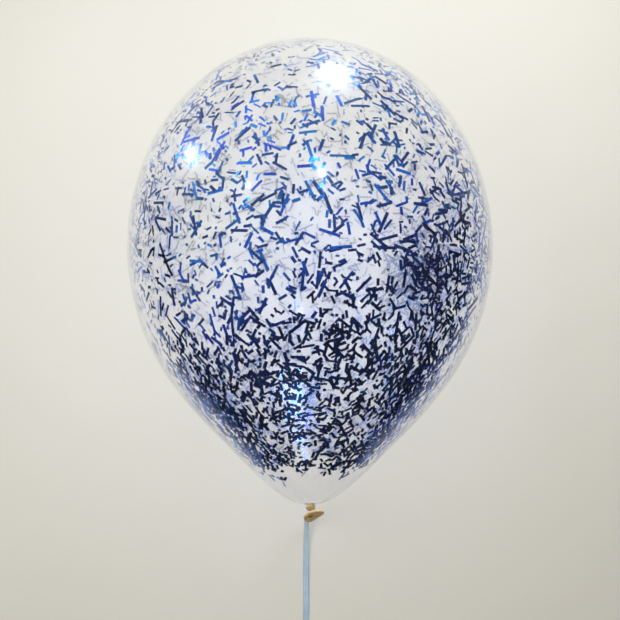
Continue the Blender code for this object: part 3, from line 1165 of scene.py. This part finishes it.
def flat_strip(name, path, sides, width, thickness, material):
    """A flat ribbon along a path, with rounded edges: sides gives the direction of its width at
    each point."""
    columns = 9
    points = []
    faces = []
    uvs = []
    count = len(path)
    travelled = [0.0]
    for start, end in zip(path, path[1:]):
        travelled.append(travelled[-1] + (end - start).length)
    for index, place in enumerate(path):
        before = path[max(0, index - 1)]
        after = path[min(count - 1, index + 1)]
        direction = (after - before).normalized()
        side = (sides[index] - direction * sides[index].dot(direction)).normalized()
        up = side.cross(direction)
        for layer in (0.5, -0.5):
            for column in range(columns):
                share = column / (columns - 1) - 0.5
                edge = 1 - (2 * share) ** 8
                points.append(place + side * width * share + up * thickness * layer * edge)
    row = 2 * columns
    for index in range(count - 1):
        for column in range(columns - 1):
            for layer in (0, 1):
                first = index * row + layer * columns + column
                corners = [first, first + 1, first + 1 + row, first + row]
                spots = [(0, 0), (1, 0), (1, 1), (0, 1)]
                if layer:
                    corners.reverse()
                    spots.reverse()
                faces.append(tuple(corners))
                for across, onward in spots:
                    uvs.append((
                        (column + across) / (columns - 1),
                        travelled[index + onward] / width,
                    ))
    for start in (0, (count - 1) * row):
        for column in range(columns - 1):
            first = start + column
            corners = [first, first + columns, first + columns + 1, first + 1]
            if start:
                corners.reverse()
            faces.append(tuple(corners))
            uvs += [(0.5, travelled[-1] / width if start else 0.0)] * 4
    return piece_from(name, points, faces, [material], uvs=uvs)


def build_ribbon(settings, material):
    """The free length of flat ribbon, from the tie down to the floor and along it."""
    route = smooth_route(RIBBON_ROUTE, 0.0035)
    lowest = settings.ribbon_thickness / 2 + 0.0001
    path = []
    sides = []
    for index, place in enumerate(route):
        # Its width turns from along the balloon, where it hangs, to flat across on the floor
        lying = smooth_step((0.030 - place.z) / 0.026)
        twist = math.radians(90 - 48 * smooth_step((-0.2035 - place.y) / 0.012)
                             - 42 * smooth_step((-0.215 - place.y) / 0.085))
        lift = 0.5 * settings.ribbon_width * math.sin(twist)
        drop = max(0.0, RIBBON_REST_HEIGHT - lowest - lift) * lying
        swing = smooth_step((0.050 - place.z) / 0.045)
        x = RIBBON_EXIT[0] + (place.x - RIBBON_EXIT[0]) * swing
        path.append(Vector((x, place.y, place.z - drop)))
        onward = route[min(len(route) - 1, index + 1)] - route[max(0, index - 1)]
        sides.append(
            Vector((math.cos(twist), 0, 0))
            + onward.normalized().cross(Vector((1, 0, 0))) * math.sin(twist)
        )
    strip = flat_strip("ribbon_strip", path, sides, settings.ribbon_width,
                       settings.ribbon_thickness, material)
    merge_close(strip)
    length = sum((b - a).length for a, b in zip(path, path[1:]))
    return strip, path, length


def bunched_ribbon(name, shapes, material):
    """Make a piece of gathered ribbon from its turns, with the film's ribs bunched on each face."""
    points, faces = joined(shapes)
    uvs = [(corner / 7.0, 0.0) for face in faces for corner in range(len(face))]
    return piece_from(name, points, faces, [material], uvs=uvs)


def build_tie(material):
    """The ribbon's bunched turns round the tail, and the small knot that it hangs from."""
    def gathered(share, angle):
        """Radius of bunched ribbon: the ridges of its gathers run along it."""
        ridges = 0.16 * math.sin(5 * angle + 9 * share) + 0.08 * math.sin(9 * angle)
        return TIE_GATHER * (1 + ridges)

    place = KNOT_CENTRE + LIP_AXIS * (KNOT_LENGTH / 2 + TIE_PLACE)
    facing = LIP_AXIS.to_track_quat("Z", "Y").to_matrix()
    turns = []
    for step in range(73):
        share = step / 72
        angle = 2 * math.pi * TIE_TURNS * share + 2.2
        turns.append(place + facing @ Vector((
            TIE_RADIUS * math.cos(angle),
            TIE_RADIUS * math.sin(angle),
            -0.0004 + 0.0010 * share,
        )))
    shapes = [tube(turns, gathered, 18)]
    side = Vector((-1.0, 0.0, -1.1))
    side = (side - LIP_AXIS * LIP_AXIS.dot(side)).normalized()
    knot = place + side * TIE_KNOT_REACH
    for axis, reach in ((side, 0.0010), (side.cross(LIP_AXIS) + 0.6 * side, 0.0009)):
        shapes.append(tube(ring_path(knot, axis, reach, 32), gathered, 18, closed=True))
    tie = bunched_ribbon("ribbon_turns", shapes, material)
    merge_close(tie)
    return tie


def build_hand_loop(settings, material):
    """The knotted loop at the ribbon's far end, lying on the floor."""
    def gathered(share, angle):
        """Radius of the knot's turns: gathered ribbon with ridges along it."""
        ridges = 0.14 * math.sin(5 * angle + 7 * share) + 0.07 * math.sin(11 * angle)
        return LOOP_GATHER * (1 + ridges)

    end = Vector(RIBBON_ROUTE[-1])
    _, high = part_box("ribbon_loop")
    knot_y = high.y - LOOP_KNOT_INSET
    path = []
    sides = []
    count = 64
    for index in range(count + 1):
        angle = 2 * math.pi * index / count
        along = LOOP_LENGTH * (1 - math.cos(angle)) / 2
        across = LOOP_HALF_WIDTH * math.sin(angle) * max(0.0, math.sin(angle / 2)) ** 0.5
        lean = LOOP_LEAN * math.sin(angle / 2) ** 0.7
        place = Vector((end.x + across, knot_y - along, 0.0009 + 0.0020 * math.sin(lean)))
        path.append(place)
        outward = (place - Vector((end.x, knot_y - LOOP_MIDDLE, place.z))).normalized()
        sides.append(outward * math.cos(lean) + Vector((0, 0, 1)) * math.sin(lean))
    strip = flat_strip("ribbon_hand_loop", path, sides, settings.ribbon_width * LOOP_NARROWER,
                       settings.ribbon_thickness, material)
    middle = Vector((end.x, knot_y, LOOP_KNOT_HEIGHT))
    shapes = []
    for axis, reach, squash in (
        (Vector((0.25, 1, 0.1)), 0.0017, 0.62),
        (Vector((-0.7, 1, 0.0)), 0.0016, 0.70),
        (Vector((0.1, 0.5, 1)), 0.0017, 0.62),
    ):
        turn = ring_path(middle, axis, reach, 36, squash=squash)
        shapes.append(tube(turn, gathered, 18, closed=True))
    join_into(strip, bunched_ribbon("hand_loop_knot", shapes, material))
    merge_close(strip)
    return strip


def point_on_skin(x, height, eye):
    """The point of the upper skin that the eye sees where a line to (x, height) on the axis plane
    crosses it, and the skin's normal there."""
    outline = envelope_outline(60, 60, 30)
    aim = Vector((x, WIDEST_Y + height, AXIS_HEIGHT))
    place = aim.copy()
    normal = Vector((0, 0, 1))
    for _ in range(12):
        up = place.y - WIDEST_Y
        for (r1, h1), (r2, h2) in zip(outline, outline[1:]):
            if h2 <= up <= h1:
                radius = r1 + (r2 - r1) * (h1 - up) / (h1 - h2)
                rise = math.sqrt(max(0.0, radius ** 2 - place.x ** 2))
                normal = Vector((place.x / radius, (r2 - r1) / (h1 - h2), rise / radius))
                place = aim.lerp(eye, rise / (eye.z - AXIS_HEIGHT))
                break
    return place, normal.normalized()


def add_lamp(name, settings, eye):
    """A round lamp, set where the film mirrors it to the eye at a chosen point."""
    x, height, distance, radius, power, spread = settings
    place, normal = point_on_skin(x, height, eye)
    view = (eye - place).normalized()
    direction = 2 * normal.dot(view) * normal - view
    data = bpy.data.lights.new(name, "AREA")
    data.shape = "DISK"
    data.size = 2 * radius
    data.energy = power
    data.spread = math.radians(spread)
    # Its light goes through the film and the strips to the ones below
    data.use_shadow = False
    lamp = bpy.data.objects.new(name, data)
    bpy.context.scene.collection.objects.link(lamp)
    lamp.location = place + direction * distance
    lamp.rotation_euler = (-direction).to_track_quat("-Z", "Y").to_euler()
    lamp.visible_camera = False
    return lamp


def add_soft_box(name, place, power):
    """A large round lamp that lights the floor and is neither seen nor mirrored."""
    data = bpy.data.lights.new(name, "AREA")
    data.shape = "DISK"
    data.size = SOFT_BOX_SIZE
    data.energy = power
    data.color = SOFT_BOX_COLOUR
    box = bpy.data.objects.new(name, data)
    bpy.context.scene.collection.objects.link(box)
    box.location = place
    box.rotation_euler = box.location.to_track_quat("Z", "Y").to_euler()
    box.visible_camera = False
    box.visible_glossy = False
    box.visible_transmission = False
    return box


def light_room(scene):
    """The room round the stage: a graded glow that the film mirrors, a warm fill for matt
    surfaces, and pale walls where it is seen directly."""
    world = bpy.data.worlds.new("studio")
    scene.world = world
    world.use_nodes = True
    tree = world.node_tree
    tree.nodes.clear()
    coords = add_node(tree, "ShaderNodeTexCoord")
    parts = add_node(tree, "ShaderNodeSeparateXYZ", {"Vector": coords.outputs["Generated"]})
    sideways = add_node(tree, "ShaderNodeMath", {
        0: parts.outputs["X"],
        1: ROOM_TILT,
    }, operation="MULTIPLY")
    onward = add_node(tree, "ShaderNodeMath", {
        0: parts.outputs["Y"],
        1: sideways.outputs[0],
    }, operation="ADD")
    place = add_node(tree, "ShaderNodeMapRange", {
        "Value": onward.outputs[0],
        "From Min": -1.0,
        "From Max": 1.0,
    })
    glow = add_node(tree, "ShaderNodeValToRGB", {"Fac": place.outputs["Result"]})
    set_stops(glow.color_ramp, [
        (0.0, ROOM_DIM_END),
        *((at, (ROOM_RED * level, green * level, blue * level)) for at, level, green, blue in ROOM),
        (1.0, ROOM_BRIGHT_END),
    ])
    room, fill, walls = (
        add_node(tree, "ShaderNodeBackground", {"Color": colour, "Strength": strength}).outputs[0]
        for colour, strength in (
            (glow.outputs["Color"], 1.0),
            ((*linear("#F3E7D2"), 1), 0.20),
            ((*linear("#E6E4DE"), 1), 1.0),
        )
    )
    ray = add_node(tree, "ShaderNodeLightPath")
    surround = walls
    for depth, seen_then in (("Glossy Depth", room), ("Diffuse Depth", fill)):
        bounced = add_node(tree, "ShaderNodeMath", {
            0: ray.outputs[depth],
            1: 0.5,
        }, operation="GREATER_THAN")
        surround = add_node(tree, "ShaderNodeMixShader", {
            0: bounced.outputs[0],
            1: surround,
            2: seen_then,
        }).outputs[0]
    add_node(tree, "ShaderNodeOutputWorld", {"Surface": surround})


def add_bloom(scene):
    """The lens's bloom: a cool haze round what is brighter than white."""
    scene.use_nodes = True
    tree = scene.node_tree
    tree.nodes.clear()
    picture = add_node(tree, "CompositorNodeRLayers")
    bloom = add_node(tree, "CompositorNodeGlare", {
        "Image": picture.outputs["Image"],
        "Threshold": 1.0,
        "Strength": 1.1,
        "Size": 0.5,
        "Tint": (0.74, 0.98, 1.0, 1.0),
    }, glare_type="BLOOM", quality="HIGH")
    add_node(tree, "CompositorNodeComposite", {"Image": bloom.outputs["Image"]})


def add_camera(scene, settings):
    """The camera straight above the balloon, looking down; give its place."""
    data = bpy.data.cameras.new("camera")
    camera = bpy.data.objects.new("camera", data)
    scene.collection.objects.link(camera)
    eye = Vector((0.0, WIDEST_Y - VIEW_OFFSET, AXIS_HEIGHT + settings.camera_distance))
    camera.location = eye
    data.sensor_width = SENSOR_WIDTH
    data.lens = SENSOR_WIDTH * settings.camera_distance / settings.view_width
    data.clip_start = 0.05
    data.clip_end = 50.0
    scene.camera = camera
    return eye


def build_stage(settings):
    """The floor, the camera, the lamps, the room and the bloom."""
    scene = bpy.context.scene
    half = FLOOR_REACH
    corners = [(-half, -half, 0), (half, -half, 0), (half, half, 0), (-half, half, 0)]
    floor = piece_from("floor", corners, [(0, 1, 2, 3)], [floor_paper(settings)])
    eye = add_camera(scene, settings)
    for name, lamp in LAMPS.items():
        add_lamp(name, lamp, eye)
    for name, (place, power) in SOFT_BOXES.items():
        add_soft_box(name, place, power)
    light_room(scene)
    add_bloom(scene)
    scene.view_settings.view_transform = "Standard"
    scene.view_settings.look = "None"


class BalloonSettings(bpy.types.PropertyGroup):
    """Sizes and colours of the latex."""

    wall_thickness: FloatProperty(
        name="Wall thickness",
        description="Thickness of the blown skin",
        default=0.00018,
        min=0.00005,
        max=0.001,
        precision=5,
        unit="LENGTH",
    )
    film_haze: FloatProperty(
        name="Haze",
        description="How much the skin blurs what lies far behind it",
        default=0.34,
        min=0.0,
        max=1.0,
        subtype="FACTOR",
    )
    film_colour: FloatVectorProperty(
        name="Skin colour",
        description="Tint of the stretched skin",
        subtype="COLOR",
        default=linear("#FDFDFF"),
        min=0.0,
        max=1.0,
    )
    slack_colour: FloatVectorProperty(
        name="Slack colour",
        description="Colour of the unstretched latex at the knot and the lip",
        subtype="COLOR",
        default=linear("#D8C090"),
        min=0.0,
        max=1.0,
    )


class GlitterSettings(bpy.types.PropertyGroup):
    """Sizes, amount and colour of the glitter strips."""

    strip_width: FloatProperty(
        name="Strip width",
        description="Usual width of a strip",
        default=0.0023,
        min=0.0005,
        max=0.006,
        precision=4,
        unit="LENGTH",
    )
    far_width: FloatProperty(
        name="Far side width",
        description="Width of a strip on the far side, as a share of one on the near side",
        default=0.62,
        min=0.1,
        max=2.0,
        subtype="FACTOR",
    )
    amount: FloatProperty(
        name="Amount",
        description="Share of the usual number of strips",
        default=1.0,
        min=0.0,
        max=2.0,
        subtype="FACTOR",
    )
    seed: IntProperty(
        name="Seed",
        description="Picks another scatter of the same strips",
        default=7,
        min=0,
    )
    foil_colour: FloatVectorProperty(
        name="Foil colour",
        description="Main colour of the metallised film",
        subtype="COLOR",
        default=linear("#1665BE"),
        min=0.0,
        max=1.0,
    )


class RibbonSettings(bpy.types.PropertyGroup):
    """Sizes and colour of the ribbon."""

    ribbon_width: FloatProperty(
        name="Width",
        description="Width of the flat ribbon",
        default=0.0056,
        min=0.002,
        max=0.02,
        precision=4,
        unit="LENGTH",
    )
    ribbon_thickness: FloatProperty(
        name="Thickness",
        description="Thickness of the ribbon film",
        default=0.0003,
        min=0.0001,
        max=0.001,
        precision=4,
        unit="LENGTH",
    )
    ribbon_colour: FloatVectorProperty(
        name="Ribbon colour",
        description="Colour of the ribbon film",
        subtype="COLOR",
        default=linear("#C9DFF2"),
        min=0.0,
        max=1.0,
    )


class StageSettings(bpy.types.PropertyGroup):
    """The camera's place and the floor's colour."""

    camera_distance: FloatProperty(
        name="Camera distance",
        description="From the balloon's axis up to the camera",
        default=1.5,
        min=0.5,
        max=5.0,
        unit="LENGTH",
    )
    view_width: FloatProperty(
        name="View width",
        description="Width of the view at the balloon's axis",
        default=0.5105,
        min=0.1,
        max=3.0,
        unit="LENGTH",
    )
    floor_colour: FloatVectorProperty(
        name="Floor colour",
        description="Main colour of the backdrop paper",
        subtype="COLOR",
        default=linear("#EFECE4"),
        min=0.0,
        max=1.0,
    )


class BALLOON_OT_latex(bpy.types.Operator):
    """Build the latex balloon with its knot and rolled lip"""

    bl_idname = "balloon.latex"
    bl_label = "Latex balloon"

    def execute(self, context):
        balloon = build_latex(context.scene.balloon_latex)
        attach(balloon, "root")
        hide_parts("balloon")
        return {"FINISHED"}


class BALLOON_OT_glitter(bpy.types.Operator):
    """Scatter the glitter strips on the inside of the balloon"""

    bl_idname = "balloon.glitter"
    bl_label = "Glitter strips"

    def execute(self, context):
        scene = context.scene
        for piece in build_glitter(scene.balloon_glitter, scene.balloon_latex):
            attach(piece, "root")
        return {"FINISHED"}


class BALLOON_OT_ribbon(bpy.types.Operator):
    """Build the ribbon with its turns round the tail and its hand loop"""

    bl_idname = "balloon.ribbon"
    bl_label = "Ribbon"

    def execute(self, context):
        settings = context.scene.balloon_ribbon
        material = ribbon_film(settings)
        strip, path, length = build_ribbon(settings, material)
        tie = build_tie(material)
        loop = build_hand_loop(settings, material)
        for piece, node in ((strip, "ribbon"), (tie, "ribbon_tie"), (loop, "ribbon_loop")):
            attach(piece, "root")
            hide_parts(node)
        return {"FINISHED"}


class BALLOON_OT_stage(bpy.types.Operator):
    """Set up the floor, the light and the camera"""

    bl_idname = "balloon.stage"
    bl_label = "Stage"

    def execute(self, context):
        build_stage(context.scene.balloon_stage)
        return {"FINISHED"}


class BALLOON_PT_panel(bpy.types.Panel):
    """Lists the balloon's settings and its operators"""

    bl_idname = "BALLOON_PT_panel"
    bl_label = "Glitter balloon"
    bl_space_type = "VIEW_3D"
    bl_region_type = "UI"
    bl_category = "Balloon"

    def draw(self, context):
        scene = context.scene
        for settings, names, operator in (
            (scene.balloon_latex, ("wall_thickness", "film_haze", "film_colour", "slack_colour"),
             "balloon.latex"),
            (scene.balloon_glitter,
             ("strip_width", "far_width", "amount", "seed", "foil_colour"), "balloon.glitter"),
            (scene.balloon_ribbon, ("ribbon_width", "ribbon_thickness", "ribbon_colour"),
             "balloon.ribbon"),
            (scene.balloon_stage, ("camera_distance", "view_width", "floor_colour"),
             "balloon.stage"),
        ):
            box = self.layout.box()
            for name in names:
                box.prop(settings, name)
            box.operator(operator)


CLASSES = (
    BalloonSettings,
    GlitterSettings,
    RibbonSettings,
    StageSettings,
    BALLOON_OT_latex,
    BALLOON_OT_glitter,
    BALLOON_OT_ribbon,
    BALLOON_OT_stage,
    BALLOON_PT_panel,
)


def register():
    """Register the classes and give the scene its settings."""
    for cls in CLASSES:
        bpy.utils.register_class(cls)
    bpy.types.Scene.balloon_latex = PointerProperty(type=BalloonSettings)
    bpy.types.Scene.balloon_glitter = PointerProperty(type=GlitterSettings)
    bpy.types.Scene.balloon_ribbon = PointerProperty(type=RibbonSettings)
    bpy.types.Scene.balloon_stage = PointerProperty(type=StageSettings)


def unregister():
    """Take the settings and the classes away again."""
    del bpy.types.Scene.balloon_latex
    del bpy.types.Scene.balloon_glitter
    del bpy.types.Scene.balloon_ribbon
    del bpy.types.Scene.balloon_stage
    for cls in reversed(CLASSES):
        bpy.utils.unregister_class(cls)


def main():
    """Build the balloon, its glitter, its ribbon and the stage."""
    register()
    bpy.ops.balloon.stage()
    bpy.ops.balloon.ribbon()
    bpy.ops.balloon.latex()
    bpy.ops.balloon.glitter()


if __name__ == "__main__":
    main()
